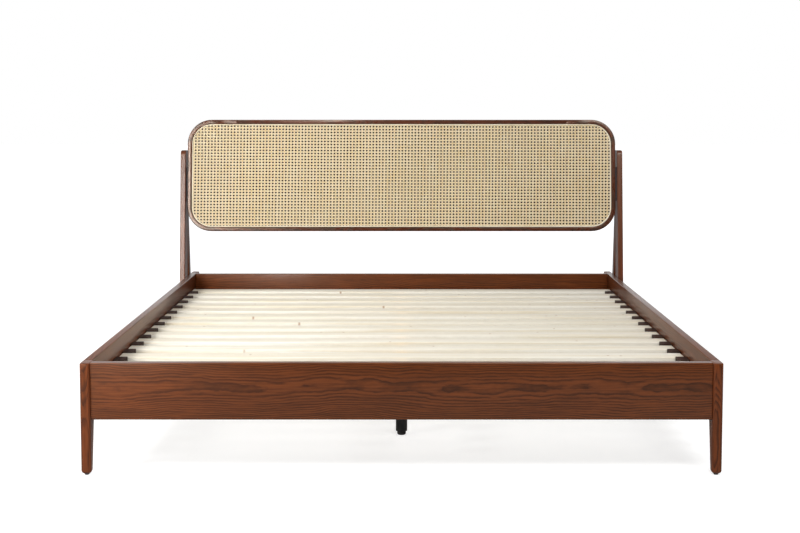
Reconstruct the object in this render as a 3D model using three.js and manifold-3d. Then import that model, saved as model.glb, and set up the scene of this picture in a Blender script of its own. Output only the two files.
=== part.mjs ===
// King-size platform bed frame with a cane headboard. Millimetres, +Z up, headboard towards +Y.
// Built with Y = 0 at the front faces of the foot-end legs, then centred on its own length.
import * as THREE from 'three';
import { mergeVertices } from 'three/addons/utils/BufferGeometryUtils.js';
import Module from 'manifold-3d';

const wasm = await Module();
wasm.setup();

// ---------- driving dimensions ----------
const GAP = 0.3; // clearance between pieces that touch
const SIDES = [['left', -1], ['right', 1]];

const LENGTH = 2208; // front face of the foot-end legs to back face of the head-end legs
const RAIL_OUTER = 1015; // outer face of the side rails, from the centre line
const RAIL_THICK = 28;
const RAIL_TOP = 359;
const RAIL_BOTTOM = 177;
const RAIL_EDGE = 3; // rounding of the rails' long edges

const LEG_WIDE = 32; // across the bed
const LEG_DEEP = 58; // along the bed, at the rails
const LEG_FOOT_DEEP = 30; // along the bed, at the floor
const LEG_EDGE = 8;
const LEG_TAPER_TOP = 169; // the taper starts just below the rails
const GLIDE_HIGH = 4;
const GLIDE_RADIUS = 7;

const FRONT_RAIL_SETBACK = 8; // front rail behind the legs' front faces
const FRONT_RAIL_THICK = 30;
const BACK_RAIL_AT = 2105; // inner face of the back rail
const BACK_RAIL_THICK = 28;

const SLAT_COUNT = 14;
const SLAT_WIDE = 77;
const SLAT_THICK = 18;
const SLAT_TOP = 297;
const SLAT_FIRST = 126; // front edge of the first slat
const SLAT_PITCH = 140.25;
const SLAT_END_GAP = 5;
const SLAT_EDGE = 2;
const LEDGE_WIDE = 37.4;
const LEDGE_HIGH = 30;
const NOTCH_PLAY = 0.7; // each side of a slat in its notch
const TOOTH_PROUD = 3; // teeth of the ledges above the slats

const BEAM_WIDE = 40;
const BEAM_HIGH = 70;
const BEAM_EDGE = 2;
const BRACKET_PLATE = 3;
const BEAM_SHELF = 44;
const BEAM_BRACKET_SIDE = 15; // bracket beyond the beam, each side
const BEAM_BRACKET_DROP = 4; // top of the bracket below the top of the beam
const CENTRE_LEG_RADIUS = 20.5;
const CENTRE_LEG_START = 14; // top of the levelling foot, above the floor
const CENTRE_LEG_EASE = 1; // chamfer at its lower end
const FOOT_RADIUS = 15.5;
const FOOT_BEVEL = 1.5; // rounding under the foot
const FOOT_GAP = 1; // between the foot's shoulder and the leg
const STUD_RADIUS = 4;
const STUD_LONG = 36;
const STUD_TIP = 1; // chamfer of the stud's end
const FOOT_TRAVEL = 10;
const BORE_PLAY = 0.6; // round the stud
const BORE_SPARE = 4; // above the stud when the foot is screwed right in
const SOCKET_PLAY = 1.5; // round the foot, in the end of the leg
const TURNED_SIDES = 20;
const CENTRE_LEG_AT = [0.225, 0.5, 0.775]; // fractions of the beam's length

const CORNER_ARM = 70; // each arm of a corner bracket
const CORNER_STEP = 3; // the stepped bracket's play behind the leg
const CORNER_BOTTOM = 188;
const CORNER_TOP = 232;

const LEAN = THREE.MathUtils.degToRad(6.5); // headboard lean
const POST_THICK = 24;
const POST_DEEP = 78; // along the bed
const POST_FRONT = 1975; // front edge of the post at the height of the rail tops
const POST_TOP = 953;
const POST_FOOT = 190;
const POST_CORNER = 20;
const POST_EDGE = 3;
const BRACE_BACK = 2148; // back edge of the brace at the height of the rail tops
const BRACE_DEEP = 48;
const BRACE_SLOPE = 0.128; // forward lean of the brace, per unit of height
const BRACE_TIP = 6; // width of the cut-off top of the brace
const BOLT_HEIGHT = 268;
const BOLT_SHANK = 4;
const BOLT_TIP = 1; // chamfer of the shank's end
const BOLT_HEAD = 8;
const BOLT_HEAD_HIGH = 4;
const BOLT_RIM_HIGH = 1.2; // straight edge of the head
const BOLT_DOME = [0.62, 0.85]; // shoulder of the dome: parts of the head's radius and height
const BOLT_BITE = 22; // length of shank inside the rail
const BOLT_SIDES = 14;
const DRILL_SPARE = 2; // bolt holes are cut this far past a face

const PANEL_HALF = 1009;
const PANEL_HIGH = 526; // along the lean
const PANEL_THICK = 34;
const PANEL_BOTTOM = 574; // height of the lower front edge
const PANEL_SETBACK = 18; // behind the front edge of the posts
const PANEL_CORNER = 113;
const PANEL_ARC_STEPS = 10; // facets in each quarter turn
const RIM_WIDE = 20;
const TONGUE_WIDE = 8; // tongue inside the rim that carries the cane and the back board
const TONGUE_START = 11;
const TONGUE_THICK = 4;
const SEAM_TOP = 780; // joint of the top rim piece and the end pieces, from the centre line
const SEAM_BOTTOM = 932;
const CANE_THICK = 2.4;
const SPLINE_WIDE = 5;
const SPLINE_THICK = 4;
const BACK_BOARD_THICK = 6;
const MOUNT_WIDE = 22;
const MOUNT_LONG = 160;
const MOUNT_DROP = 40; // middle of the plates below the middle of the panel

// ---------- materials ----------
function finish(color, roughness, metalness = 0) {
  return new THREE.MeshStandardMaterial({ color, roughness, metalness });
}
const walnut = finish(0x6e4632, 0.5);
const darkWalnut = finish(0x3d2a20, 0.6);
const paleWood = finish(0xeee3cc, 0.65);
const beamWood = finish(0xc29a66, 0.65);
const cane = finish(0xe6d3a6, 0.6);
const splineCane = finish(0xefe6d2, 0.6);
const blackPaint = finish(0x151515, 0.45);
const blackPlastic = finish(0x1c1c1c, 0.6);
const steel = finish(0x8d8f92, 0.35, 0.9);

// ---------- helpers ----------
const bed = new THREE.Group();
bed.position.y = -LENGTH / 2;

function add(name, geometry, material, parent = bed) {
  const mesh = new THREE.Mesh(geometry, material);
  mesh.name = name;
  parent.add(mesh);
  return mesh;
}

// Rectangle with rounded corners, centred on (cx, cy).
function roundedRect(halfX, halfY, radius, cx = 0, cy = 0) {
  const shape = new THREE.Shape();
  const [right, top] = [halfX - radius, halfY - radius];
  shape.absarc(cx + right, cy - top, radius, -Math.PI / 2, 0);
  shape.absarc(cx + right, cy + top, radius, 0, Math.PI / 2);
  shape.absarc(cx - right, cy + top, radius, Math.PI / 2, Math.PI);
  shape.absarc(cx - right, cy - top, radius, Math.PI, 1.5 * Math.PI);
  shape.closePath();
  return shape;
}

function extrude(shape, depth, options = {}) {
  return new THREE.ExtrudeGeometry(shape, { depth, bevelEnabled: false, curveSegments: 3, ...options });
}

// Turns an extrusion so that its outline lies in one plane and its depth runs along the remaining axis.
function alongX(geometry) {
  const turn = new THREE.Matrix4().makeBasis(
    new THREE.Vector3(0, 1, 0), new THREE.Vector3(0, 0, 1), new THREE.Vector3(1, 0, 0));
  return geometry.applyMatrix4(turn);
}
function alongY(geometry, depth) {
  return geometry.rotateX(Math.PI / 2).translate(0, depth, 0);
}

// Straight board between two corners, its long edges rounded. The axis says which way it runs.
function board(axis, low, high, edge) {
  const [sx, sy, sz] = high.map((value, i) => value - low[i]);
  if (axis === 'x') {
    return alongX(extrude(roundedRect(sy / 2, sz / 2, edge), sx))
      .translate(low[0], low[1] + sy / 2, low[2] + sz / 2);
  }
  return alongY(extrude(roundedRect(sx / 2, sz / 2, edge), sy), sy)
    .translate(low[0] + sx / 2, low[1], low[2] + sz / 2);
}

// Board given on the +X side, mirrored to the other side when side is -1.
function sideSpan(side, inner, outer) {
  return side > 0 ? [inner, outer] : [-outer, -inner];
}

function toSolid(geometry) {
  const bare = geometry.clone();
  bare.deleteAttribute('normal');
  bare.deleteAttribute('uv');
  const merged = mergeVertices(bare, 1e-4);
  return new wasm.Manifold(new wasm.Mesh({
    numProp: 3,
    vertProperties: merged.attributes.position.array,
    triVerts: new Uint32Array(merged.index.array),
  }));
}

function toGeometry(solid) {
  const mesh = solid.getMesh();
  const geometry = new THREE.BufferGeometry();
  geometry.setAttribute('position', new THREE.BufferAttribute(new Float32Array(mesh.vertProperties), 3));
  geometry.setIndex(new THREE.BufferAttribute(new Uint32Array(mesh.triVerts), 1));
  geometry.computeVertexNormals();
  return geometry;
}

function rodAlongX(radius, x0, x1, y, z) {
  const rod = new THREE.CylinderGeometry(radius, radius, x1 - x0, BOLT_SIDES);
  return rod.rotateZ(-Math.PI / 2).translate((x0 + x1) / 2, y, z);
}

// ---------- legs, glides and rails ----------
// Side view of a corner leg: straight outer face, inner face tapering towards the floor.
function legOutline(outerAt, direction) {
  const inset = LEG_EDGE;
  const at = (deep) => outerAt + direction * deep;
  const points = [
    [at(inset), GLIDE_HIGH + inset], [at(LEG_FOOT_DEEP - inset), GLIDE_HIGH + inset],
    [at(LEG_DEEP - inset), LEG_TAPER_TOP], [at(LEG_DEEP - inset), RAIL_TOP - inset],
    [at(inset), RAIL_TOP - inset],
  ];
  return new THREE.Shape(points.map(([y, z]) => new THREE.Vector2(y, z)));
}

function addLeg(name, side, outerAt, direction) {
  const bevel = {
    bevelEnabled: true, bevelThickness: LEG_EDGE, bevelSize: LEG_EDGE, bevelSegments: 3,
  };
  const outline = legOutline(outerAt, direction);
  const geometry = alongX(extrude(outline, LEG_WIDE - 2 * LEG_EDGE, bevel));
  const centre = side * (RAIL_OUTER - LEG_WIDE / 2);
  geometry.translate(centre - LEG_WIDE / 2 + LEG_EDGE, 0, 0);
  add(`${name}_leg`, geometry, walnut);

  const high = GLIDE_HIGH - GAP;
  const glide = new THREE.CylinderGeometry(GLIDE_RADIUS + 1, GLIDE_RADIUS, high, 24);
  glide.rotateX(Math.PI / 2).translate(centre, outerAt + direction * LEG_FOOT_DEEP / 2, high / 2);
  add(`${name}_glide`, glide, blackPlastic);
}

for (const [word, side] of SIDES) {
  addLeg(`front_${word}`, side, 0, 1);
  addLeg(`rear_${word}`, side, LENGTH, -1);
}

const railInner = RAIL_OUTER - RAIL_THICK;
const endRailHalf = RAIL_OUTER - LEG_WIDE - GAP;
const frontRailBack = FRONT_RAIL_SETBACK + FRONT_RAIL_THICK;
const sideRailStart = LEG_DEEP + GAP;
const sideRailEnd = LENGTH - LEG_DEEP - GAP;

add('front_rail', board('x', [-endRailHalf, FRONT_RAIL_SETBACK, RAIL_BOTTOM],
  [endRailHalf, frontRailBack, RAIL_TOP], RAIL_EDGE), walnut);
add('back_rail', board('x', [-railInner + GAP, BACK_RAIL_AT, RAIL_BOTTOM],
  [railInner - GAP, BACK_RAIL_AT + BACK_RAIL_THICK, RAIL_TOP], RAIL_EDGE), walnut);

// ---------- headboard posts, braces and their bolts ----------
const leanSlope = Math.tan(LEAN);
const postFrontAt = (z) => POST_FRONT + (z - RAIL_TOP) * leanSlope;
const postBackAt = (z) => postFrontAt(z) + POST_DEEP;
const braceBackAt = (z) => BRACE_BACK - (z - RAIL_TOP) * BRACE_SLOPE;
const braceFrontAt = (z) => braceBackAt(z) - BRACE_DEEP;
const frameInner = RAIL_OUTER + GAP;
const frameOuter = frameInner + POST_THICK;
const boltSpots = [
  ['post', (postFrontAt(BOLT_HEIGHT) + postBackAt(BOLT_HEIGHT)) / 2],
  ['brace', (braceFrontAt(BOLT_HEIGHT) + braceBackAt(BOLT_HEIGHT)) / 2],
];

// Closed outline through side-view points, with the listed corners rounded by short curves.
function sideOutline(points) {
  const shape = new THREE.Shape();
  points.forEach(([y, z, radius = 0], i) => {
    const corner = new THREE.Vector2(y, z);
    const before = new THREE.Vector2(...points[(i + points.length - 1) % points.length].slice(0, 2));
    const after = new THREE.Vector2(...points[(i + 1) % points.length].slice(0, 2));
    const start = corner.clone().add(before.sub(corner).setLength(radius));
    const end = corner.clone().add(after.sub(corner).setLength(radius));
    if (i === 0) shape.moveTo(start.x, start.y);
    else shape.lineTo(start.x, start.y);
    if (radius > 0) shape.quadraticCurveTo(y, z, end.x, end.y);
  });
  shape.closePath();
  return shape;
}

function sideSlab(points, side) {
  const bevel = { bevelEnabled: true, bevelThickness: POST_EDGE, bevelSize: POST_EDGE,
    bevelOffset: -POST_EDGE, bevelSegments: 2, curveSegments: 5 };
  const geometry = alongX(extrude(sideOutline(points), POST_THICK - 2 * POST_EDGE, bevel));
  return geometry.translate(side > 0 ? frameInner + POST_EDGE : -frameOuter + POST_EDGE, 0, 0);
}

// Bolt hole through the post or brace, or blind into the side rail.
function boltHole(side, y, from, to) {
  const [x0, x1] = sideSpan(side, from, to);
  return toSolid(rodAlongX(BOLT_SHANK + GAP, x0, x1, y, BOLT_HEIGHT));
}

// Dome-headed bolt pushed in from outside, its head standing on the outer face.
function bolt(side, y) {
  const reach = POST_THICK + GAP + BOLT_BITE;
  const profile = [
    [0, -reach], [BOLT_SHANK - BOLT_TIP, -reach], [BOLT_SHANK, BOLT_TIP - reach], [BOLT_SHANK, GAP],
    [BOLT_HEAD, GAP], [BOLT_HEAD, GAP + BOLT_RIM_HIGH],
    [BOLT_HEAD * BOLT_DOME[0], BOLT_HEAD_HIGH * BOLT_DOME[1]], [0, BOLT_HEAD_HIGH],
  ].map(([r, h]) => new THREE.Vector2(r, h));
  const geometry = new THREE.LatheGeometry(profile, BOLT_SIDES);
  return geometry.rotateZ(side > 0 ? -Math.PI / 2 : Math.PI / 2)
    .translate(side * frameOuter, y, BOLT_HEIGHT);
}

const braceMeet = (() => {
  // Heights at which the brace's front and back edges reach the post's back edge.
  const closing = leanSlope + BRACE_SLOPE;
  const gapAtRail = braceFrontAt(RAIL_TOP) - postBackAt(RAIL_TOP) - 2 * GAP;
  const gapAtBack = gapAtRail + BRACE_DEEP - BRACE_TIP;
  return { front: RAIL_TOP + gapAtRail / closing, back: RAIL_TOP + gapAtBack / closing };
})();

for (const [word, side] of SIDES) {
  const post = toSolid(sideSlab([
    [postFrontAt(POST_FOOT), POST_FOOT], [postBackAt(POST_FOOT), POST_FOOT],
    [postBackAt(POST_TOP), POST_TOP, POST_CORNER], [postFrontAt(POST_TOP), POST_TOP, POST_CORNER],
  ], side));
  const brace = toSolid(sideSlab([
    [braceFrontAt(POST_FOOT), POST_FOOT], [braceBackAt(POST_FOOT), POST_FOOT],
    [braceBackAt(braceMeet.back), braceMeet.back],
    [postBackAt(braceMeet.back) + 2 * GAP, braceMeet.back],
    [postBackAt(braceMeet.front) + 2 * GAP, braceMeet.front],
  ], side));
  const [postSpot, braceSpot] = boltSpots.map(([, y]) => y);
  const through = [frameInner - DRILL_SPARE, frameOuter + DRILL_SPARE];
  add(`headboard_post_${word}`,
    toGeometry(post.subtract(boltHole(side, postSpot, ...through))), walnut);
  add(`headboard_brace_${word}`,
    toGeometry(brace.subtract(boltHole(side, braceSpot, ...through))), walnut);
  for (const [part, y] of boltSpots) {
    add(`${part}_bolt_${word}`, bolt(side, y), steel);
  }

  const [x0, x1] = sideSpan(side, railInner, RAIL_OUTER);
  let rail = toSolid(board('y', [x0, sideRailStart, RAIL_BOTTOM], [x1, sideRailEnd, RAIL_TOP], RAIL_EDGE));
  for (const [, y] of boltSpots) {
    rail = rail.subtract(boltHole(side, y, RAIL_OUTER - BOLT_BITE - BOLT_TIP, RAIL_OUTER + DRILL_SPARE));
  }
  add(`side_rail_${word}`, toGeometry(rail), walnut);
}

// ---------- slats and their notched ledges ----------
const slatBottom = SLAT_TOP - SLAT_THICK;
const slatStartAt = (i) => SLAT_FIRST + i * SLAT_PITCH;
const slatHalf = railInner - SLAT_END_GAP;

for (let i = 0; i < SLAT_COUNT; i += 1) {
  const start = slatStartAt(i);
  add(`slat_${String(i + 1).padStart(2, '0')}`,
    board('x', [-slatHalf, start, slatBottom], [slatHalf, start + SLAT_WIDE, SLAT_TOP], SLAT_EDGE), paleWood);
}

// Side view of a ledge: a straight bar with a tooth standing up between each two slats.
function ledgeOutline() {
  const seat = slatBottom - GAP;
  const low = seat - LEDGE_HIGH;
  const crest = SLAT_TOP + TOOTH_PROUD;
  const [start, end] = [LEG_DEEP + 2 * GAP, BACK_RAIL_AT - GAP];
  const shape = new THREE.Shape();
  shape.moveTo(start, low);
  shape.lineTo(end, low);
  shape.lineTo(end, seat);
  for (let i = SLAT_COUNT - 1; i > 0; i -= 1) {
    const [back, front] = [slatStartAt(i) - NOTCH_PLAY, slatStartAt(i - 1) + SLAT_WIDE + NOTCH_PLAY];
    shape.lineTo(back, seat);
    shape.lineTo(back, crest);
    shape.lineTo(front, crest);
    shape.lineTo(front, seat);
  }
  shape.lineTo(start, seat);
  shape.closePath();
  return shape;
}

for (const [word, side] of SIDES) {
  const [x0] = sideSpan(side, railInner - GAP - LEDGE_WIDE, railInner - GAP);
  add(`slat_ledge_${word}`, alongX(extrude(ledgeOutline(), LEDGE_WIDE)).translate(x0, 0, 0), darkWalnut);
}

// ---------- centre beam, its brackets, centre legs and levelling feet ----------
const beamTop = slatBottom - GAP;
const beamBottom = beamTop - BEAM_HIGH;
const beamStart = frontRailBack + 2 * GAP + BRACKET_PLATE;
const beamEnd = BACK_RAIL_AT - 2 * GAP - BRACKET_PLATE;
add('centre_beam', board('y', [-BEAM_WIDE / 2, beamStart, beamBottom],
  [BEAM_WIDE / 2, beamEnd, beamTop], BEAM_EDGE), beamWood);

// Steel angle screwed to an end rail, its shelf under the beam.
function beamBracket(railFace, direction) {
  const at = (deep) => railFace + direction * deep;
  const [top, under] = [beamTop - BEAM_BRACKET_DROP, beamBottom - GAP];
  const points = [
    [GAP, under - BRACKET_PLATE], [BEAM_SHELF, under - BRACKET_PLATE], [BEAM_SHELF, under],
    [GAP + BRACKET_PLATE, under], [GAP + BRACKET_PLATE, top], [GAP, top],
  ];
  const shape = new THREE.Shape(points.map(([deep, z]) => new THREE.Vector2(at(deep), z)));
  const half = BEAM_WIDE / 2 + BEAM_BRACKET_SIDE;
  return alongX(extrude(shape, 2 * half)).translate(-half, 0, 0);
}
add('beam_bracket_front', beamBracket(frontRailBack, 1), steel);
add('beam_bracket_rear', beamBracket(BACK_RAIL_AT, -1), steel);

// Turned leg with a bore for the threaded stud of its levelling foot.
function centreLegProfile() {
  const top = beamBottom - GAP;
  const bore = STUD_RADIUS + BORE_PLAY;
  const boreTop = CENTRE_LEG_START + STUD_LONG + FOOT_TRAVEL + BORE_SPARE;
  const [socket, socketTop] = [FOOT_RADIUS + SOCKET_PLAY, CENTRE_LEG_START + FOOT_TRAVEL];
  return [
    [0, boreTop], [bore, boreTop], [bore, socketTop], [socket, socketTop], [socket, CENTRE_LEG_START],
    [CENTRE_LEG_RADIUS - CENTRE_LEG_EASE, CENTRE_LEG_START],
    [CENTRE_LEG_RADIUS, CENTRE_LEG_START + CENTRE_LEG_EASE], [CENTRE_LEG_RADIUS, top], [0, top],
  ];
}

// Rounded plastic foot on a threaded stud that screws up into the leg.
function footProfile() {
  const shoulder = CENTRE_LEG_START - FOOT_GAP;
  const studTop = shoulder + STUD_LONG;
  return [
    [0, 0], [FOOT_RADIUS - 3 * FOOT_BEVEL, 0], [FOOT_RADIUS - FOOT_BEVEL, FOOT_BEVEL],
    [FOOT_RADIUS, 3 * FOOT_BEVEL], [FOOT_RADIUS, shoulder], [STUD_RADIUS, shoulder],
    [STUD_RADIUS, studTop - STUD_TIP], [STUD_RADIUS - STUD_TIP, studTop], [0, studTop],
  ];
}

function turned(profile, y) {
  const geometry = new THREE.LatheGeometry(profile.map(([r, h]) => new THREE.Vector2(r, h)), TURNED_SIDES);
  return geometry.rotateX(Math.PI / 2).translate(0, y, 0);
}

['front', 'middle', 'rear'].forEach((word, i) => {
  const y = beamStart + (beamEnd - beamStart) * CENTRE_LEG_AT[i];
  add(`centre_leg_${word}`, turned(centreLegProfile(), y), blackPaint);
  add(`levelling_foot_${word}`, turned(footProfile(), y), blackPlastic);
});

// ---------- corner brackets ----------
// Plan view at the foot end: one arm on the front rail, the other stepped from the leg onto the side rail.
function frontCorner() {
  const [face, side] = [RAIL_OUTER - LEG_WIDE - GAP, railInner - GAP];
  const [start, step] = [frontRailBack + GAP, LEG_DEEP + CORNER_STEP];
  return [
    [face, start], [face - CORNER_ARM, start], [face - CORNER_ARM, start + BRACKET_PLATE],
    [face - BRACKET_PLATE, start + BRACKET_PLATE], [face - BRACKET_PLATE, step],
    [side - BRACKET_PLATE, step + CORNER_STEP], [side - BRACKET_PLATE, step + CORNER_ARM],
    [side, step + CORNER_ARM], [side, step], [face, step - CORNER_STEP / 2],
  ];
}

// Plan view at the head end: a plain angle between the back rail and the side rail.
function rearCorner() {
  const [side, start] = [railInner - GAP, BACK_RAIL_AT - GAP];
  return [
    [side, start], [side - CORNER_ARM, start], [side - CORNER_ARM, start - BRACKET_PLATE],
    [side - BRACKET_PLATE, start - BRACKET_PLATE], [side - BRACKET_PLATE, start - CORNER_ARM],
    [side, start - CORNER_ARM],
  ];
}

for (const [end, corner] of [['front', frontCorner()], ['rear', rearCorner()]]) {
  for (const [word, side] of SIDES) {
    const outline = new THREE.Shape(corner.map(([x, y]) => new THREE.Vector2(side * x, y)));
    add(`corner_bracket_${end}_${word}`,
      extrude(outline, CORNER_TOP - CORNER_BOTTOM).translate(0, 0, CORNER_BOTTOM), steel);
  }
}

// ---------- headboard panel ----------
// Modelled upright: X across, Y into the thickness, Z up from the lower edge. The group leans it back.
const panel = new THREE.Group();
panel.position.set(0, postFrontAt(PANEL_BOTTOM) + PANEL_SETBACK, PANEL_BOTTOM);
panel.rotation.x = -LEAN;
bed.add(panel);

function panelOutline(inset) {
  return roundedRect(PANEL_HALF - inset, PANEL_HIGH / 2 - inset, PANEL_CORNER - inset, 0, PANEL_HIGH / 2);
}

function panelPlate(inset, from, thick, hole = null) {
  const shape = panelOutline(inset);
  if (hole !== null) shape.holes.push(panelOutline(hole));
  return alongY(extrude(shape, thick, { curveSegments: PANEL_ARC_STEPS }), thick).translate(0, from, 0);
}

const rim = toSolid(panelPlate(0, 0, PANEL_THICK, RIM_WIDE))
  .add(toSolid(panelPlate(RIM_WIDE - 1, TONGUE_START, TONGUE_THICK, RIM_WIDE + TONGUE_WIDE)));

function rimPiece(x0, x1, z0, z1) {
  const block = new THREE.BoxGeometry(x1 - x0, 2 * PANEL_THICK, z1 - z0)
    .translate((x0 + x1) / 2, PANEL_THICK / 2, (z0 + z1) / 2);
  return rim.intersect(toSolid(block));
}

// Cutting blocks reach this far past the rim.
const CUT_SPARE = 10;
const middle = PANEL_HIGH / 2;
const [beyond, above, below] = [PANEL_HALF + CUT_SPARE, PANEL_HIGH + CUT_SPARE, -CUT_SPARE];
add('headboard_rim_top', toGeometry(rimPiece(-SEAM_TOP, SEAM_TOP, middle, above)), walnut, panel);
add('headboard_rim_bottom', toGeometry(rimPiece(-SEAM_BOTTOM, SEAM_BOTTOM, below, middle)), walnut, panel);
for (const [word, side] of SIDES) {
  const [topX0, topX1] = sideSpan(side, SEAM_TOP + GAP, beyond);
  const [lowX0, lowX1] = sideSpan(side, SEAM_BOTTOM + GAP, beyond);
  const end = rimPiece(topX0, topX1, middle - 1, above).add(rimPiece(lowX0, lowX1, below, middle));
  add(`headboard_rim_${word}`, toGeometry(end), walnut, panel);
}

const caneStart = TONGUE_START - GAP - CANE_THICK;
add('cane_panel', panelPlate(RIM_WIDE + GAP, caneStart, CANE_THICK), cane, panel);
add('cane_spline',
  panelPlate(RIM_WIDE + GAP, caneStart - GAP - SPLINE_THICK, SPLINE_THICK, RIM_WIDE + GAP + SPLINE_WIDE),
  splineCane, panel);
add('headboard_back_board',
  panelPlate(RIM_WIDE + GAP, TONGUE_START + TONGUE_THICK + GAP, BACK_BOARD_THICK), darkWalnut, panel);

// Painted steel plates between the posts and the panel's ends.
for (const [word, side] of SIDES) {
  const [x0, x1] = sideSpan(side, PANEL_HALF + GAP, frameInner - GAP);
  const plate = new THREE.BoxGeometry(x1 - x0, MOUNT_WIDE, MOUNT_LONG)
    .translate((x0 + x1) / 2, PANEL_THICK / 2, PANEL_HIGH / 2 - MOUNT_DROP);
  add(`headboard_plate_${word}`, plate, blackPaint, panel);
}

export default bed;
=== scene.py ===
"""A king-size platform bed frame with a cane headboard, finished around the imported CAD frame."""

import math
import random

import bmesh
import bpy
import numpy as np
from mathutils import Matrix, Vector


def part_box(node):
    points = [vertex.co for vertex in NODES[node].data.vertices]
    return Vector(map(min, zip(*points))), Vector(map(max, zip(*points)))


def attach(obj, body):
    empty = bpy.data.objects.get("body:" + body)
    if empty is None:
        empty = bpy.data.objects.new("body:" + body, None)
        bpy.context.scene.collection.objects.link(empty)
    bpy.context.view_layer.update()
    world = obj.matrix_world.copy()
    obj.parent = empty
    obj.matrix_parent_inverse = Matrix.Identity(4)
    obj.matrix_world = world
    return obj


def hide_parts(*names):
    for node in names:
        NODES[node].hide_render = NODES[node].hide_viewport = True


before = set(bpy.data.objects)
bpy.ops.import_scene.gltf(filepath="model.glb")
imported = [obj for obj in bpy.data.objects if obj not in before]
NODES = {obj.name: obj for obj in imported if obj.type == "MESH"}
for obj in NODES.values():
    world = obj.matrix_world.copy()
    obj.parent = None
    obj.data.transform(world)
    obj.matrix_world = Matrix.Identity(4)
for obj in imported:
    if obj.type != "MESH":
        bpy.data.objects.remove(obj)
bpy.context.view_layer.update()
SIDES = ("left", "right")
ENDS = ("front", "rear")
CENTRE_PLACES = ("front", "middle", "rear")
SLATS = [name for name in sorted(NODES) if name.startswith("slat_") and name[5:].isdigit()]
MM = 0.001

rng = random.Random(7)

# ---------- camera ----------
FOOT_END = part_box("front_left_leg")[0].y
CAMERA_DISTANCE = 3.979   # in front of the foot-end legs
CAMERA_HEIGHT = 1.179
CAMERA_TILT = 4.09        # degrees downwards
CAMERA_LENS = 57.6
CAMERA_SHIFT = (-0.0019, -0.0909)


def add_camera():
    data = bpy.data.cameras.new("camera")
    data.lens = CAMERA_LENS
    data.sensor_width = 36
    data.shift_x, data.shift_y = CAMERA_SHIFT
    data.clip_end = 100
    camera = bpy.data.objects.new("camera", data)
    camera.location = (0, FOOT_END - CAMERA_DISTANCE, CAMERA_HEIGHT)
    camera.rotation_euler = (math.radians(90 - CAMERA_TILT), 0, 0)
    bpy.context.scene.collection.objects.link(camera)
    bpy.context.scene.camera = camera


add_camera()


# ---------- material building blocks ----------
class Tree:
    """A new material's node tree, with short calls for the nodes used here."""

    def __init__(self, name):
        self.material = bpy.data.materials.new(name)
        self.material.use_nodes = True
        self.nodes = self.material.node_tree.nodes
        self.links = self.material.node_tree.links
        self.shader = self.nodes["Principled BSDF"]

    def put(self, socket, value):
        if isinstance(value, bpy.types.NodeSocket):
            self.links.new(value, socket)
        else:
            socket.default_value = value

    def node(self, kind, inputs=None, **settings):
        made = self.nodes.new(kind)
        for key, value in settings.items():
            setattr(made, key, value)
        for key, value in (inputs or {}).items():
            self.put(made.inputs[key], value)
        return made

    def math(self, operation, a, b=0.0, clamp=False):
        return self.node("ShaderNodeMath", {0: a, 1: b}, operation=operation, use_clamp=clamp).outputs[0]

    def grain(self):
        return self.node("ShaderNodeAttribute", attribute_name="grain").outputs["Vector"]

    def place(self):
        return self.node("ShaderNodeTexCoord").outputs["Object"]

    def stretch(self, vector, scale, shift=(0, 0, 0)):
        return self.node("ShaderNodeMapping", {
            "Vector": vector, "Scale": scale, "Location": shift}).outputs[0]

    def noise(self, vector, scale=1.0, detail=3.0, roughness=0.55, distortion=0.0):
        return self.node("ShaderNodeTexNoise", {
            "Vector": vector, "Scale": scale, "Detail": detail,
            "Roughness": roughness, "Distortion": distortion}).outputs["Fac"]

    def ramp(self, factor, stops):
        """Grey ramp through (position, brightness) stops."""
        made = self.node("ShaderNodeValToRGB", {"Fac": factor})
        elements = made.color_ramp.elements
        while len(elements) < len(stops):
            elements.new(0.5)
        for element, (position, grey) in zip(elements, stops):
            element.position = position
            element.color = (grey, grey, grey, 1)
        return made.outputs["Color"]

    def level(self, factor, low, high, start=0.0, end=1.0):
        """factor from low..high brought to start..end, clamped."""
        return self.node("ShaderNodeMapRange", {
            "Value": factor, "From Min": low, "From Max": high, "To Min": start, "To Max": end}).outputs[0]

    def mix(self, factor, a, b, blend="MIX"):
        made = self.node("ShaderNodeMix", data_type="RGBA", blend_type=blend)
        self.put(made.inputs[0], factor)
        self.put(made.inputs[6], a)
        self.put(made.inputs[7], b)
        return made.outputs[2]

    def edge_wear(self, low=0.52, high=0.62):
        """1 on sharp convex edges, 0 elsewhere."""
        pointiness = self.node("ShaderNodeNewGeometry").outputs["Pointiness"]
        return self.level(pointiness, low, high)

    def finish(self, colour, roughness, height=None, depth=0.0003, strength=0.5):
        self.put(self.shader.inputs["Base Color"], colour)
        self.put(self.shader.inputs["Roughness"], roughness)
        if height is not None:
            bump = self.node("ShaderNodeBump", {"Height": height, "Distance": depth, "Strength": strength})
            self.links.new(bump.outputs["Normal"], self.shader.inputs["Normal"])
        return self.material


def srgb(text):
    """Linear colour of a six-digit sRGB hex colour."""
    values = [int(text[i:i + 2], 16) / 255 for i in (0, 2, 4)]
    return (*[v / 12.92 if v <= 0.04045 else ((v + 0.055) / 1.055) ** 2.4 for v in values], 1.0)


def scaled(colour, factor):
    """A colour made lighter or darker, its alpha kept at 1."""
    return [c * factor for c in colour[:3]] + [1]


WARM_GLOSS = (1.0, 0.78, 0.6, 1)
LACQUER_ROUGHNESS = 0.18
LACQUER_IOR = 1.36


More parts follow.
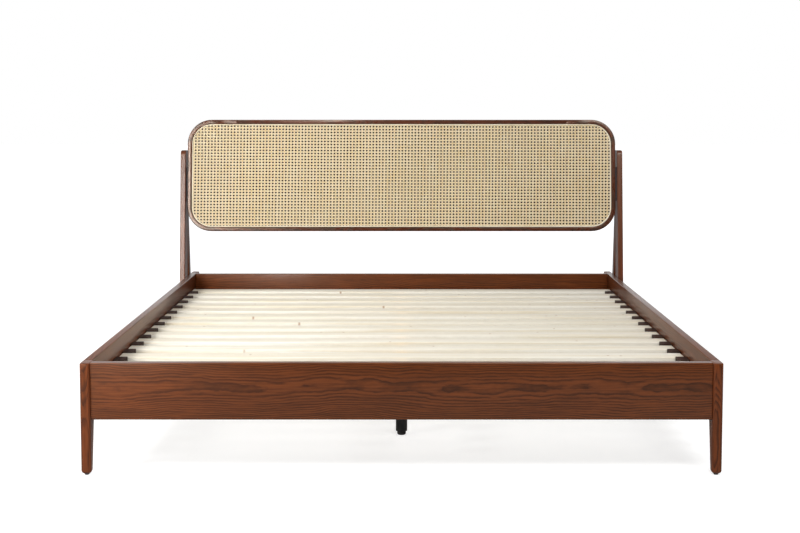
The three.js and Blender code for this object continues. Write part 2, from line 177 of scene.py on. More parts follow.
def walnut(name, light, dark, ring_pitch=0.0058, pith=0.05, wave=0.03,
           gloss=(0.32, 0.46), specular=0.3, lacquer=0.4):
    """Walnut-stained open-pored wood. Rings wander round a pith that lies under the face, so that flat
    faces show cathedral figure; the attribute runs along the grain in x, across the face in y."""
    t = Tree(name)
    grain = t.grain()
    split = t.node("ShaderNodeSeparateXYZ", {"Vector": grain}).outputs
    sway = t.noise(t.stretch(grain, (2.3, 3.0, 3.0)), detail=2.0)
    rise = t.noise(t.stretch(grain, (1.6, 1.0, 1.0), (7, 3, 1)), detail=2.0)
    ripple = t.noise(t.stretch(grain, (13, 26, 26)), detail=3.0)
    across = t.math("ADD", split[1], t.math("MULTIPLY", t.math("SUBTRACT", sway, 0.5), wave * 2))
    deep = t.math("ADD", t.math("ADD", split[2], pith * 0.6), t.math("MULTIPLY", rise, pith))
    squares = t.math("ADD", t.math("MULTIPLY", across, across), t.math("MULTIPLY", deep, deep))
    radius = t.math("SQRT", squares)
    radius = t.math("ADD", radius, t.math("MULTIPLY", ripple, ring_pitch * 1.3))
    ring = t.math("FRACT", t.math("DIVIDE", radius, ring_pitch))
    late = t.ramp(ring, [(0.0, 0.2), (0.32, 0.0), (0.66, 0.65), (0.88, 1.0), (1.0, 0.2)])
    breakup = t.level(t.noise(t.stretch(grain, (9, 60, 60), (2, 5, 9)), detail=4.0), 0.26, 0.50)
    late = t.math("MULTIPLY", late, breakup)
    streak = t.noise(t.stretch(grain, (5, 190, 190), (8, 1, 3)), detail=3.0, roughness=0.7)
    streak = t.level(streak, 0.44, 0.64)
    fibre = t.noise(t.stretch(grain, (14, 420, 420)), detail=2.0, roughness=0.7)
    pores = t.level(t.noise(t.stretch(grain, (34, 900, 900), (4, 4, 4)), detail=1.0), 0.60, 0.70)
    pores = t.math("MULTIPLY", pores, t.math("ADD", 0.25, t.math("MULTIPLY", late, 0.75)))
    tone = t.noise(t.stretch(grain, (1.1, 9, 9), (11, 2, 6)), detail=2.0)
    base = t.mix(t.level(tone, 0.3, 0.7), light, scaled(light, 0.78))
    base = t.mix(t.level(fibre, 0.35, 0.68, 0.0, 0.35), base, scaled(light, 1.4))
    base = t.mix(t.math("MULTIPLY", streak, 0.5), base, dark)
    base = t.mix(t.math("MULTIPLY", late, 0.92), base, dark)
    base = t.mix(t.math("MULTIPLY", pores, 0.75), base, scaled(dark, 0.45))
    base = t.mix(t.math("MULTIPLY", t.edge_wear(), 0.35), base, scaled(light, 1.7))
    rough = t.math("ADD", t.math("MULTIPLY", fibre, 0.5), t.math("MULTIPLY", late, 0.5))
    rough = t.level(rough, 0, 1, *gloss)
    hollow = t.math("ADD", pores, t.math("MULTIPLY", late, 0.3))
    height = t.math("SUBTRACT", t.math("MULTIPLY", fibre, 0.4), hollow)
    t.shader.inputs["Specular IOR Level"].default_value = specular
    t.shader.inputs["Specular Tint"].default_value = WARM_GLOSS
    t.shader.inputs["Coat Weight"].default_value = lacquer
    t.shader.inputs["Coat Roughness"].default_value = LACQUER_ROUGHNESS
    t.shader.inputs["Coat IOR"].default_value = LACQUER_IOR
    return t.finish(base, rough, height, 0.0004, 0.45)


def pale_wood(name, light, streak, knot):
    """Smooth sawn pine or poplar: faint straight streaks, a few small knots."""
    t = Tree(name)
    grain = t.grain()
    streaks = t.noise(t.stretch(grain, (1.3, 95, 60)), detail=4.0, roughness=0.6, distortion=0.3)
    broad = t.noise(t.stretch(grain, (0.7, 14, 14), (3, 8, 1)), detail=2.0)
    fibre = t.noise(t.stretch(grain, (20, 700, 500)), detail=2.0, roughness=0.7)
    ragged = t.math("MULTIPLY", t.noise(t.stretch(grain, (90, 260, 260)), detail=2.0), 0.02)
    spots = t.node("ShaderNodeTexVoronoi", {"Vector": grain, "Scale": 4.2}, voronoi_dimensions="2D")
    spots = t.level(t.math("ADD", spots.outputs["Distance"], ragged), 0.018, 0.036, 1.0, 0.0)
    base = t.mix(t.level(streaks, 0.46, 0.68, 0.0, 0.9), light, streak)
    base = t.mix(t.level(broad, 0.45, 0.75, 0.0, 0.4), base, streak)
    base = t.mix(t.level(fibre, 0.45, 0.7, 0.0, 0.18), base, scaled(streak, 0.72))
    base = t.mix(t.math("MULTIPLY", spots, 0.7), base, knot)
    rough = t.level(fibre, 0.3, 0.7, 0.5, 0.72)
    height = t.math("ADD", t.math("MULTIPLY", fibre, 0.6), t.math("MULTIPLY", streaks, 0.4))
    return t.finish(base, rough, height, 0.0003, 0.35)


def cane_strand(name, light, dark, node_mark):
    """Split rattan bark: glossy skin with fine fibres along the strand and darker joints now and then."""
    t = Tree(name)
    grain = t.grain()
    tone = t.noise(t.stretch(grain, (6, 40, 40)), detail=2.0)
    fibre = t.noise(t.stretch(grain, (60, 2600, 2600)), detail=2.0)
    mark = t.level(t.noise(t.stretch(grain, (3.5, 300, 300), (5, 5, 5)), detail=1.0), 0.70, 0.76)
    base = t.mix(t.level(tone, 0.35, 0.68), light, dark)
    base = t.mix(t.level(fibre, 0.4, 0.7, 0.0, 0.25), base, scaled(dark, 0.8))
    base = t.mix(t.math("MULTIPLY", mark, 0.6), base, node_mark)
    t.shader.inputs["Sheen Weight"].default_value = 0.1
    return t.finish(base, t.level(fibre, 0.3, 0.7, 0.42, 0.6), fibre, 0.0001, 0.4)


def painted(name, colour, lighter, roughness=0.38):
    """Satin powder coat or moulded plastic: fine orange peel, dust-dull patches, rubbed edges."""
    t = Tree(name)
    place = t.place()
    peel = t.noise(place, scale=900, detail=2.0)
    patch = t.noise(place, scale=14, detail=4.0)
    base = t.mix(t.level(patch, 0.35, 0.75, 0.0, 0.6), colour, lighter)
    base = t.mix(t.math("MULTIPLY", t.edge_wear(0.54, 0.66), 0.5), base, scaled(lighter, 3))
    return t.finish(base, t.level(patch, 0.3, 0.7, roughness - 0.06, roughness + 0.12), peel, 0.0001, 0.25)


def plated_steel(name):
    """Zinc-plated steel: brushed along one way, with slight cloudy patches."""
    t = Tree(name)
    place = t.place()
    brush = t.noise(t.stretch(place, (60, 60, 1400)), detail=3.0)
    cloud = t.noise(place, scale=45, detail=3.0)
    base = t.mix(t.level(cloud, 0.3, 0.7), srgb("a9abae"), srgb("8b8d90"))
    base = t.mix(t.math("MULTIPLY", t.edge_wear(0.54, 0.66), 0.5), base, srgb("d5d6d8"))
    t.shader.inputs["Metallic"].default_value = 1.0
    return t.finish(base, t.level(brush, 0.3, 0.7, 0.24, 0.42), brush, 0.00005, 0.3)


WALNUT = walnut("walnut", srgb("6f3818"), srgb("120603"))
WALNUT_RIM = walnut("walnut_rim", srgb("54230d"), srgb("140602"), ring_pitch=0.006, pith=0.10, wave=0.01,
                    gloss=(0.24, 0.36), specular=0.7, lacquer=0.5)
WALNUT_POST = walnut("walnut_post", srgb("6e3316"), srgb("1c0a04"), ring_pitch=0.004, pith=0.10, wave=0.01,
                     specular=0.55, lacquer=0.5)
WALNUT_LEG = walnut("walnut_leg", srgb("763b1c"), srgb("3a1a0c"), ring_pitch=0.0032, pith=0.10, wave=0.01,
                    lacquer=0.12)
DARK_WALNUT = walnut("dark_walnut", srgb("38211a"), srgb("170c08"), ring_pitch=0.010, pith=0.08, wave=0.02,
                     gloss=(0.5, 0.65), specular=0.15, lacquer=0.0)
BOARD = walnut("board_stain", srgb("40241a"), srgb("180c07"), ring_pitch=0.012, pith=0.05, wave=0.03,
               gloss=(0.42, 0.58), specular=0.3, lacquer=0.0)
PALE = pale_wood("pale_slat_wood", srgb("f8f3e6"), srgb("ebddc0"), srgb("a67a4c"))
BEAM = pale_wood("beam_wood", srgb("cda777"), srgb("b58a58"), srgb("7c5a38"))
# The tanner copy for the paired uprights and crosswise strands is partly the cane's own tan and partly
# painted shade: it darkens the crossings of the pairs, where shade falls between the strands. The
# diagonals keep the lighter copy.
CANE_SHADED = cane_strand("cane_skin_tan_painted_shade", srgb("fdedc8"), srgb("eecd8f"), srgb("a8793f"))
CANE_DIAGONAL = cane_strand("cane_skin", srgb("fff7e2"), srgb("f9e6bb"), srgb("c49a5e"))
SPLINE = cane_strand("reed_spline", srgb("faf2de"), srgb("efe2c2"), srgb("cbb088"))
BLACK_PAINT = painted("black_powder_coat", (0.012, 0.012, 0.013, 1), (0.03, 0.03, 0.032, 1), 0.34)
BLACK_PLASTIC = painted("black_plastic", (0.018, 0.018, 0.018, 1), (0.035, 0.035, 0.035, 1), 0.5)
STEEL = plated_steel("zinc_plated_steel")


# ---------- mesh building blocks ----------
SHARP_ANGLE = math.radians(50)


def new_object(name, vertices, faces, grain, material):
    """A smooth-shaded mesh object from arrays, its faces turned outward, with its wood-grain coordinates
    as a point attribute."""
    mesh = bpy.data.meshes.new(name)
    mesh.from_pydata([tuple(v) for v in vertices], [], [tuple(f) for f in faces])
    attribute = mesh.attributes.new("grain", "FLOAT_VECTOR", "POINT")
    attribute.data.foreach_set("vector", np.asarray(grain, np.float32).ravel())
    mesh.materials.append(material)
    mesh.validate()
    mesh.polygons.foreach_set("use_smooth", [True] * len(mesh.polygons))
    mesh.set_sharp_from_angle(angle=SHARP_ANGLE)
    turn_outward(mesh)
    made = bpy.data.objects.new(name, mesh)
    bpy.context.scene.collection.objects.link(made)
    return made


def turn_outward(mesh):
    work = bmesh.new()
    work.from_mesh(mesh)
    bmesh.ops.recalc_face_normals(work, faces=work.faces)
    work.to_mesh(mesh)
    work.free()


def add_bevel(made, width, segments=2, angle=30):
    """Rounds the edges of a piece that are sharper than angle degrees."""
    bevel = made.modifiers.new("eased edges", "BEVEL")
    bevel.width = width
    bevel.segments = segments
    bevel.limit_method = "ANGLE"
    bevel.angle_limit = math.radians(angle)


def settle(piece, node, body="frame"):
    """Puts a finished piece on its body, in place of its CAD node."""
    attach(piece, body)
    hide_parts(node)


def random_offset():
    """Gives a piece its own stretch of the procedural wood."""
    return np.array([rng.uniform(0, 40), rng.uniform(-0.02, 0.02), rng.uniform(0, 0.02)])


def box_grain(points, along, wide, centre):
    """Grain coordinates of world points for a straight board: along, across the face, through it."""
    order = ["xyz".index(along), "xyz".index(wide)]
    order.append(3 - sum(order))
    return (np.asarray(points) - centre)[:, order] + random_offset()


def rounded_section(half_a, half_b, radius, steps=4):
    """Points round a rectangle with rounded corners, anticlockwise."""
    points = []
    for quarter, (sa, sb) in enumerate(((1, 1), (-1, 1), (-1, -1), (1, -1))):
        for step in range(steps + 1):
            angle = math.pi / 2 * (quarter + step / steps)
            points.append((sa * (half_a - radius) + radius * math.cos(angle),
                           sb * (half_b - radius) + radius * math.sin(angle)))
    return points


def loft(rings, closed=False):
    """Vertices and faces through equal rings of points. Open lofts are capped at both ends."""
    count, width = len(rings), len(rings[0])
    vertices = [point for ring in rings for point in ring]
    faces = []
    for i in range(count if closed else count - 1):
        a, b = i * width, (i + 1) % count * width
        for j in range(width):
            k = (j + 1) % width
            faces.append((a + j, a + k, b + k, b + j))
    if not closed:
        faces.append(tuple(range(width))[::-1])
        faces.append(tuple((count - 1) * width + j for j in range(width)))
    return vertices, faces


def eased_start(start, radius, steps):
    """Stations of a loft at its rounded start: (place along, inset of the section there)."""
    return [(start + radius * (1 - math.cos(math.pi / 2 * s / steps)),
             radius * (1 - math.sin(math.pi / 2 * s / steps))) for s in range(steps + 1)]


def eased_end(start, end, radius, steps):
    """The same at its far end."""
    return [(start + end - place, inset) for place, inset in reversed(eased_start(start, radius, steps))]


END_ROUND = 1.2 * MM
LEAST_ROUND = 0.2 * MM
AXES = {"x": (0, 1, 2), "y": (1, 0, 2), "z": (2, 0, 1)}   # the axis along a board, then the other two


def board_object(name, low, high, along, wide, material, edge):
    """A straight board with rounded long edges and eased ends."""
    low, high = np.array(low), np.array(high)
    centre = (low + high) / 2
    length, a, b = AXES[along]
    half = (high - low) / 2
    stations = eased_start(low[length], END_ROUND, 2)
    stations += eased_end(low[length], high[length], END_ROUND, 2)
    rings = []
    for place, inset in stations:
        ring = []
        corner = max(edge - inset, LEAST_ROUND)
        for off_a, off_b in rounded_section(half[a] - inset, half[b] - inset, corner):
            point = [0, 0, 0]
            point[length], point[a], point[b] = place, centre[a] + off_a, centre[b] + off_b
            ring.append(point)
        rings.append(ring)
    vertices, faces = loft(rings)
    return new_object(name, vertices, faces, box_grain(vertices, along, wide, centre), material)


def board_for(node, along, wide, material, edge):
    """A detailed board in the exact place of a CAD board."""
    settle(board_object(node + "_wood", *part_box(node), along, wide, material, edge), node)


# ---------- rails, slats, ledges and beam ----------
RAIL_EDGE = 3 * MM
SLAT_EDGE = 2 * MM
LEDGE_EDGE = 1 * MM
NOTCH_PLAY = 0.7 * MM        # each side of a slat in its notch
GAP = 0.3 * MM               # between pieces that touch
for node in ("front_rail", "back_rail"):
    board_for(node, "x", "z", WALNUT, RAIL_EDGE)
for side in SIDES:
    board_for(f"side_rail_{side}", "y", "z", WALNUT, RAIL_EDGE)
for node in SLATS:
    board_for(node, "x", "y", PALE, SLAT_EDGE)
board_for("centre_beam", "y", "z", BEAM, SLAT_EDGE)


def notched_ledge(side):
    """Side ledge: a bar with a tooth between each two slats, its teeth slightly eased."""
    low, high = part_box(f"slat_ledge_{side}")
    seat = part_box(SLATS[0])[0].z - GAP
    outline = [(low.y, low.z), (high.y, low.z), (high.y, seat)]
    for near, far in reversed(list(zip(SLATS, SLATS[1:]))):
        back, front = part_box(far)[0].y - NOTCH_PLAY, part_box(near)[1].y + NOTCH_PLAY
        outline += [(back, seat), (back, high.z), (front, high.z), (front, seat)]
    outline.append((low.y, seat))
    rings = [[(x, y, z) for y, z in outline] for x in (low.x, high.x)]
    vertices, faces = loft(rings)
    centre = np.array((low + high) / 2)
    made = new_object(f"slat_ledge_{side}_wood", vertices, faces,
                      box_grain(vertices, "y", "x", centre), DARK_WALNUT)
    add_bevel(made, LEDGE_EDGE)
    settle(made, f"slat_ledge_{side}")


for side in SIDES:
    notched_ledge(side)


# ---------- corner legs ----------
LEG_CORNER = 8 * MM
LEG_FOOT_DEEP = 30 * MM
LEG_FOOT_ROUND = 11 * MM
LEG_TOP_ROUND = 3 * MM
TAPER_DROP = 8 * MM          # the taper starts this far below the rails


def corner_leg(node):
    """A leg with a straight outer face and a tapering inner one, rounded all round and at the foot."""
    low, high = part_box(node)
    deep = high.y - low.y
    front_leg = node.startswith("front")
    taper_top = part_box("front_rail")[0].z - TAPER_DROP
    centre_x, half_x = (low.x + high.x) / 2, (high.x - low.x) / 2
    stations = eased_start(low.z, LEG_FOOT_ROUND, 7) + eased_end(low.z, high.z, LEG_TOP_ROUND, 3)
    stations += [(low.z + (high.z - low.z) * s / 12, 0) for s in range(1, 12)]
    stations.append((taper_top, 0))
    rings = []
    for z, inset in sorted(stations):
        taper = min(max((z - low.z - LEG_CORNER) / (taper_top - low.z - LEG_CORNER), 0), 1)
        here = LEG_FOOT_DEEP + (deep - LEG_FOOT_DEEP) * taper
        centre_y = low.y + here / 2 if front_leg else high.y - here / 2
        corner = max(LEG_CORNER - inset * 0.5, 2 * MM)
        section = rounded_section(half_x - inset, here / 2 - inset, corner, 5)
        rings.append([(centre_x + a, centre_y + b, z) for a, b in section])
    vertices, faces = loft(rings)
    made = new_object(node + "_wood", vertices, faces,
                      box_grain(vertices, "z", "x", np.array((low + high) / 2)), WALNUT_LEG)
    settle(made, node)


for end in ENDS:
    for side in SIDES:
        corner_leg(f"{end}_{side}_leg")


# ---------- headboard posts and braces ----------
LEAN = math.radians(6.5)
SLOPE = math.tan(LEAN)
POST_DEEP = 78 * MM
POST_ROUND = 20 * MM
BRACE_DEEP = 48 * MM
BRACE_TIP = 6 * MM           # width of the brace's cut-off top
BRACE_GAP = 0.6 * MM         # between brace and post
SLAB_EDGE = 3 * MM


def arc_corner(before, corner, after, radius, steps=6):
    """Points that round a corner of an outline; radius is how far from it the curve starts."""
    corner, before, after = (np.array(p, float) for p in (corner, before, after))
    start = corner + (before - corner) / np.linalg.norm(before - corner) * radius
    end = corner + (after - corner) / np.linalg.norm(after - corner) * radius
    return [tuple((1 - t) ** 2 * start + 2 * t * (1 - t) * corner + t * t * end)
            for t in (s / steps for s in range(steps + 1))]


def side_slab(name, outline, low_x, high_x, lean, material):
    """A board cut to a side-view outline (y, z), its edges rounded, grain along its lean."""
    rings = [[(x, y, z) for y, z in outline] for x in (low_x, high_x)]
    vertices, faces = loft(rings)
    points = np.array(vertices)
    along = points[:, 2] * math.cos(lean) + points[:, 1] * math.sin(lean)
    across = points[:, 1] * math.cos(lean) - points[:, 2] * math.sin(lean)
    through = points[:, 0] - points[:, 0].mean()
    grain = np.stack([along, across - across.mean(), through], 1) + random_offset()
    made = new_object(name, vertices, faces, grain, material)
    add_bevel(made, SLAB_EDGE, segments=4, angle=40)
    return made


def headboard_post(side):
    """Leaning board with a rounded top."""
    low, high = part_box(f"headboard_post_{side}")
    front_top = low.y + (high.z - low.z) * SLOPE
    corners = [(low.y, low.z), (low.y + POST_DEEP, low.z), (high.y, high.z), (front_top, high.z)]
    outline = corners[:2]
    outline += arc_corner(corners[1], corners[2], corners[3], POST_ROUND)
    outline += arc_corner(corners[2], corners[3], corners[0], POST_ROUND)
    post = side_slab(f"headboard_post_{side}_wood", outline, low.x, high.x, LEAN, WALNUT_POST)
    settle(post, f"headboard_post_{side}")


def headboard_brace(side):
    """Board that slants from the side rail up to the back of the post and lies along it at the top."""
    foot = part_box(f"headboard_post_{side}")[0]
    low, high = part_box(f"headboard_brace_{side}")
    behind_post = foot.y + POST_DEEP + BRACE_GAP
    tip = behind_post + (high.z - foot.z) * SLOPE
    base_back, base_front = high.y, high.y - BRACE_DEEP
    fall = (base_back - (tip + BRACE_TIP)) / (high.z - low.z)
    meet = foot.z + (base_front - behind_post) / (SLOPE + fall)
    outline = [(base_front, low.z), (base_back, low.z), (tip + BRACE_TIP, high.z), (tip, high.z),
               (behind_post + (meet - foot.z) * SLOPE, meet)]
    brace = side_slab(f"headboard_brace_{side}_wood", outline, low.x, high.x, -math.atan(fall), WALNUT)
    settle(brace, f"headboard_brace_{side}")


for side in SIDES:
    headboard_post(side)
    headboard_brace(side)


# ---------- headboard panel ----------
PANEL_THICK = 34 * MM
PANEL_CORNER = 113 * MM
RIM_WIDE = 20 * MM
RIM_ROUND = 2.8 * MM
RIM_END_ROUND = 0.5 * MM     # softened end of each length of rim
RIM_END_SHRINK = 0.03        # part of the section lost there
TONGUE_WIDE = 8 * MM
TONGUE_DEEP = (11 * MM, 15 * MM)   # behind the rim's front face
RIM_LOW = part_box("headboard_rim_bottom")[0]
PANEL_BASE = Vector((0, RIM_LOW.y, RIM_LOW.z + PANEL_THICK * math.sin(LEAN)))
PANEL_HIGH = (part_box("headboard_rim_top")[1].z - PANEL_BASE.z) / math.cos(LEAN)
PANEL_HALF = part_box("headboard_rim_right")[1].x
PANEL_TO_WORLD = Matrix.Translation(PANEL_BASE) @ Matrix.Rotation(-LEAN, 4, "X")
SEAM_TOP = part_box("headboard_rim_top")[1].x       # from the middle of the panel to a joint
SEAM_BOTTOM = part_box("headboard_rim_bottom")[1].x
ARC = PANEL_CORNER * math.pi / 2
FLAT_X = PANEL_HALF - PANEL_CORNER
FLAT_Z = PANEL_HIGH / 2 - PANEL_CORNER
LAP = 4 * (FLAT_X + FLAT_Z + ARC)


def rim_point(s):
    """Place on the panel's outline (x, z) and the outward direction there, s metres anticlockwise
    from the middle of the lower edge."""
    s %= LAP
    middle = PANEL_HIGH / 2
    legs = [
        (FLAT_X, (0, -middle), (1, 0), (0, -1)), (ARC, (FLAT_X, -FLAT_Z), -90, None),
        (2 * FLAT_Z, (PANEL_HALF, -FLAT_Z), (0, 1), (1, 0)), (ARC, (FLAT_X, FLAT_Z), 0, None),
        (2 * FLAT_X, (FLAT_X, middle), (-1, 0), (0, 1)), (ARC, (-FLAT_X, FLAT_Z), 90, None),
        (2 * FLAT_Z, (-PANEL_HALF, FLAT_Z), (0, -1), (-1, 0)), (ARC, (-FLAT_X, -FLAT_Z), 180, None),
        (FLAT_X, (-FLAT_X, -middle), (1, 0), (0, -1)),
    ]
    for length, start, heading, out in legs:
        if s <= length + 1e-9:
            break
        s -= length
    if out is None:
        angle = math.radians(heading) + s / PANEL_CORNER
        out = (math.cos(angle), math.sin(angle))
        place = (start[0] + PANEL_CORNER * out[0], start[1] + PANEL_CORNER * out[1])
    else:
        place = (start[0] + heading[0] * s, start[1] + heading[1] * s)
    return (place[0], place[1] + middle), out


def arc_stops(first, last, steps=12):
    """Stations between two places on the outline, close together only round the corners."""
    starts = [FLAT_X, FLAT_X + ARC + 2 * FLAT_Z, 3 * FLAT_X + 2 * ARC + 2 * FLAT_Z,
              3 * FLAT_X + 3 * ARC + 4 * FLAT_Z]
    stops = [start + turn * LAP + ARC * i / steps for turn in (-1, 0, 1) for start in starts
             for i in range(steps + 1)]
    inside = [s for s in sorted(stops) if first + 1e-4 < s < last - 1e-4]
    return [first, *inside, last]


def rim_ring(s, section, slant=0.0):
    """World points of a section of (inset, depth) points at place s of the outline."""
    ring = []
    for inset, deep in section:
        (x, z), (ox, oz) = rim_point(s + slant * (inset - RIM_WIDE / 2))
        ring.append(PANEL_TO_WORLD @ Vector((x - ox * inset, deep, z - oz * inset)))
    return ring


def rim_section():
    """Rounded bar with a tongue on its inner side that carries the cane and the back board."""
    half_w, half_t = RIM_WIDE / 2, PANEL_THICK / 2
    front, back = TONGUE_DEEP
    tip = RIM_WIDE + TONGUE_WIDE
    tongue = [(RIM_WIDE, front), (tip, front), (tip, back), (RIM_WIDE, back)]
    return [(half_w + a, half_t + b) for a, b in rounded_section(half_w, half_t, RIM_ROUND)] + tongue


def rim_piece(place, first, last, slant):
    """One length of the rim between two glued joints, which run slightly askew."""
    section = rim_section()
    inner = [(inset + (RIM_WIDE / 2 - inset) * RIM_END_SHRINK,
              deep + (PANEL_THICK / 2 - deep) * RIM_END_SHRINK) for inset, deep in section]
    stops = arc_stops(first + RIM_END_ROUND, last - RIM_END_ROUND)
    stations = [(first, inner, slant), (stops[0], section, slant)]
    stations += [(s, section, 0.0) for s in stops[1:-1]]
    stations += [(stops[-1], section, -slant), (last, inner, -slant)]
    vertices, faces = loft([rim_ring(*station) for station in stations])
    grain = np.array([(s, inset, deep) for s, outline, _ in stations for inset, deep in outline])
    made = new_object(f"headboard_rim_{place}_wood", vertices, faces, grain + random_offset(), WALNUT_RIM)
    settle(made, f"headboard_rim_{place}")


SEAM = 0.15 * MM             # half the gap in a joint
SLANT = 0.55                 # how far askew the joints run, per unit of the rim's width
TOP_MIDDLE = LAP / 2
TOP_RIGHT, TOP_LEFT = TOP_MIDDLE - SEAM_TOP, TOP_MIDDLE + SEAM_TOP
BOTTOM_RIGHT = FLAT_X + PANEL_CORNER * math.asin(min((SEAM_BOTTOM - FLAT_X) / PANEL_CORNER, 1))
rim_piece("top", TOP_RIGHT + SEAM, TOP_LEFT - SEAM, SLANT)
rim_piece("bottom", -BOTTOM_RIGHT + SEAM, BOTTOM_RIGHT - SEAM, SLANT)
rim_piece("right", BOTTOM_RIGHT + SEAM, TOP_RIGHT - SEAM, -SLANT)
rim_piece("left", TOP_LEFT + SEAM, LAP - BOTTOM_RIGHT - SEAM, -SLANT)


# ---------- cane, its spline and the board behind ----------
SHEET_DEEP = 9.5 * MM        # middle of the cane behind the rim's front face
SPLINE_INSET = (20.3 * MM, 25.3 * MM)
SPLINE_DEEP = (4.0 * MM, 8.0 * MM)
SPLINE_LIFT = 0.1 * MM       # between spline and cane
BOARD_INSET = 20.4 * MM
BOARD_DEEP = (15.3 * MM, 21.3 * MM)
BOARD_EDGE = (0.6 * MM, 0.8 * MM)   # taken off its edges, across and through it
WEAVE_INSET = 22.5 * MM
PITCH_X = 15.26 * MM         # between holes of the weave
PITCH_Z = 14.26 * MM
FIRST_HOLE = (2.7 * MM, 2.7 * MM)   # nearest hole to the middle of the panel
SKEW = 0.0090                # the sheet was stretched slightly askew
TILT = 0.0028
PAIR_X = 3.6 * MM            # between the two strands of an upright pair
PAIR_Z = 3.3 * MM
STRAND = 1.98 * MM
DIAGONAL = 1.54 * MM
CROWN = 0.55 * MM            # height of a strand's back over its edges
WEAVE = 0.45 * MM            # rise and fall of a strand over and under the others
UPRIGHT_LIFT = 0.3 * MM      # of each kind of strand over the middle of the sheet
CROSSWISE_LIFT = -0.1 * MM
DIAGONAL_LIFT = 0.35 * MM


def swept_lap(name, section, material, node):
    """A closed ring swept round the panel, its section given as (inset, depth) points."""
    stops = arc_stops(0, LAP)[:-1]
    vertices, faces = loft([rim_ring(s, section) for s in stops], closed=True)
    grain = np.array([(s, inset, deep) for s in stops for inset, deep in section])
    made = new_object(name, vertices, faces, grain + random_offset(), material)
    settle(made, node)


def spline_section():
    """Half-round bead with a flat back."""
    (near, far), (front, back) = SPLINE_INSET, SPLINE_DEEP
    middle, half = (near + far) / 2, (far - near) / 2
    arch = [(middle + half * math.cos(math.pi * s / 8), front + half * (1 - math.sin(math.pi * s / 8)))
            for s in range(9)]
    return arch + [(near, back - SPLINE_LIFT), (far, back - SPLINE_LIFT)]


swept_lap("cane_spline_bead", spline_section(), SPLINE, "cane_spline")


def back_board():
    """Thin stained board that closes the panel behind the cane."""
    (front, back), (across, through) = BOARD_DEEP, BOARD_EDGE
    section = [(BOARD_INSET + across, front), (BOARD_INSET, front + through),
               (BOARD_INSET, back - through), (BOARD_INSET + across, back)]
    lap = [rim_ring(s, section) for s in arc_stops(0, LAP)[:-1]]
    rings = [[ring[i] for ring in lap] for i in range(len(section))]
    vertices, faces = loft(rings)
    points = np.array(vertices)
    grain = np.stack([points[:, 0], points[:, 2], points[:, 1] - points[:, 1].mean()], 1) + random_offset()
    made = new_object("headboard_back_board_veneer", vertices, faces, grain, BOARD)
    settle(made, "headboard_back_board")


back_board()


def inside_field(x, z):
    """Whether panel places (z from the middle) lie within the rounded field that shows the cane."""
    radius = PANEL_CORNER - WEAVE_INSET
    run, rise = np.maximum(np.abs(x) - FLAT_X, 0), np.maximum(np.abs(z) - FLAT_Z, 0)
    return np.hypot(run, rise) <= radius


def weave_place(u, v):
    """Panel place (x, z from the middle) of lattice place (u, v), whose whole numbers are holes."""
    x = FIRST_HOLE[0] + u * PITCH_X + v * PITCH_Z * SKEW
    z = FIRST_HOLE[1] + v * PITCH_Z - u * PITCH_X * TILT
    return x, z


class Strands:
    """Collects flat rattan strands as closed three-sided tubes and makes one object of them."""

    def __init__(self, name, width, material):
        self.name, self.width, self.material = name, width, material
        self.points, self.grain, self.faces, self.ends = [], [], [], []
        self.count = 0

    def add(self, u, v, step, depth_at):
        """One strand along lattice places (arrays), cut to the field, with a station at each step."""
        x, z = weave_place(u, v)
        inside = np.flatnonzero(inside_field(x, z))
        if len(inside) < 3 * step:
            return
        first, last = inside[0], inside[-1]
        keep = [i for i in range(0, len(u), step) if first + step // 3 < i < last - step // 3]
        keep = np.array([first, *keep, last])
        deep = SHEET_DEEP - depth_at(u[keep], v[keep])
        self.add_tube(x[keep], z[keep] + PANEL_HIGH / 2, deep)

    def add_tube(self, x, z, deep):
        """Three points at each station: the left edge, the crown of the back and the right edge."""
        number = len(x)
        run = np.stack([np.gradient(x), np.gradient(z)], 1)
        run /= np.linalg.norm(run, axis=1)[:, None]
        side = np.stack([-run[:, 1], run[:, 0]], 1) * self.width / 2
        length = np.concatenate([[0], np.cumsum(np.hypot(np.diff(x), np.diff(z)))])
        path = np.stack([x, deep, z], 1)
        left, right, crown = path.copy(), path.copy(), path.copy()
        left[:, ::2] += side
        right[:, ::2] -= side
        crown[:, 1] -= CROWN
        ring = np.stack([left, crown, right], 1).reshape(-1, 3)
        offset = rng.uniform(0, 60)
        across = np.array([-self.width / 2, 0, self.width / 2])
        grain = np.zeros((number, 3, 3))
        grain[:, :, 0] = (length + offset)[:, None]
        grain[:, :, 1] = across[None, :] + rng.uniform(0, 3)
        i = np.arange(number - 1) * 3 + self.count
        faces = []
        for j, k in ((0, 1), (1, 2), (2, 0)):
            faces.append(np.stack([i + j, i + k, i + 3 + k, i + 3 + j], 1))
        self.points.append(ring)
        self.grain.append(grain.reshape(-1, 3))
        self.faces.append(np.concatenate(faces).reshape(-1, 4))
        self.ends.append((self.count, self.count + (number - 1) * 3))
        self.count += number * 3

    def finish(self):
        """Brings all strands to their place in the leaning panel and caps their ends."""
        points = np.concatenate(self.points)
        spin = np.array(PANEL_TO_WORLD.to_3x3())
        points = points @ spin.T + np.array(PANEL_TO_WORLD.translation)
        quads = np.concatenate(self.faces).tolist()
        caps = [[start + 2, start + 1, start] for start, _ in self.ends]
        caps += [[end, end + 1, end + 2] for _, end in self.ends]
        grain = np.concatenate(self.grain)
        made = new_object(self.name, points.tolist(), quads + caps, grain, self.material)
        settle(made, "cane_panel")


